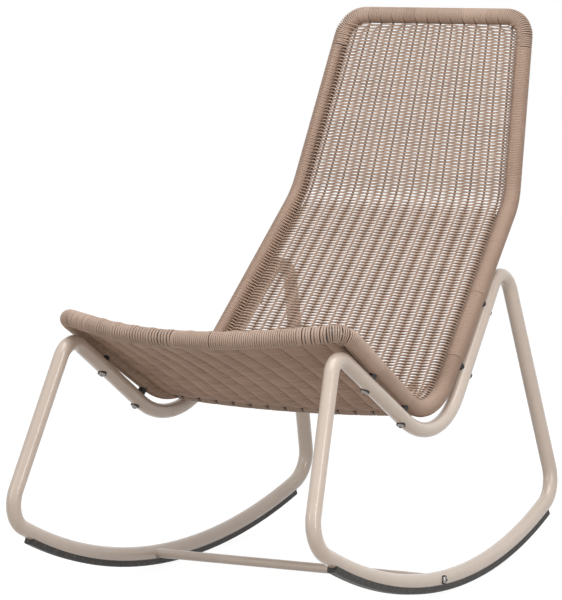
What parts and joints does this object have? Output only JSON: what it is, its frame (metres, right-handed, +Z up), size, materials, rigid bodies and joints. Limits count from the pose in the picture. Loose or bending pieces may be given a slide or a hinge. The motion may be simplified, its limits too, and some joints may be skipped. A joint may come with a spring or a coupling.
{
  "type": "rocking chair",
  "caption": "Low rocking chair: woven seat and back on one bent tube frame, bolted between two closed side loops whose lower runs are the rockers",
  "frame": {"origin": "bottom centre of the whole chair's bounding box, on the floor, in the middle between the rockers", "axes": "+Z up; the sitter faces -Y, so the front bar is at -Y and the back leans toward +Y; +X is the right side of the chair as seen from the front"},
  "size_m": [0.6182, 0.9525, 0.9108],
  "materials": {
    "loop_coat": "satin",
    "frame_coat": "satin",
    "steel": "polished",
    "black_plastic": "matte",
    "strand": "satin",
    "weave": "satin",
    "glide": "matte"
  },
  "bodies": {
    "root": {"side_loop_right": "loop_coat", "side_loop_left": "loop_coat", "seat_frame": "frame_coat", "crossbar": "frame_coat", "stretcher": "loop_coat", "stretcher_plugs": "steel", "stretcher_bolts": "steel", "stretcher_washers": "black_plastic", "seat_bolts": "steel", "seat_washers": "black_plastic", "seat_spacers": "black_plastic", "seat_inserts": "steel", "back_bolts": "steel", "back_washers": "black_plastic", "back_spacers": "black_plastic", "back_inserts": "steel", "wrap_front": "strand", "band_front_right": "strand", "band_front_left": "strand", "wrap_corner_right": "strand", "wrap_corner_left": "strand", "wrap_seat_rail_right": "strand", "wrap_seat_rail_left": "strand", "wrap_bend_right": "strand", "wrap_bend_left": "strand", "wrap_back_low_right": "strand", "wrap_back_low_left": "strand", "wrap_back_high_right": "strand", "wrap_back_high_left": "strand", "wrap_top": "strand", "wrap_crossbar": "strand", "seat_weave": "weave", "back_weave": "weave", "glide_right": "glide", "glide_left": "glide"}
  },
  "joints": []
}
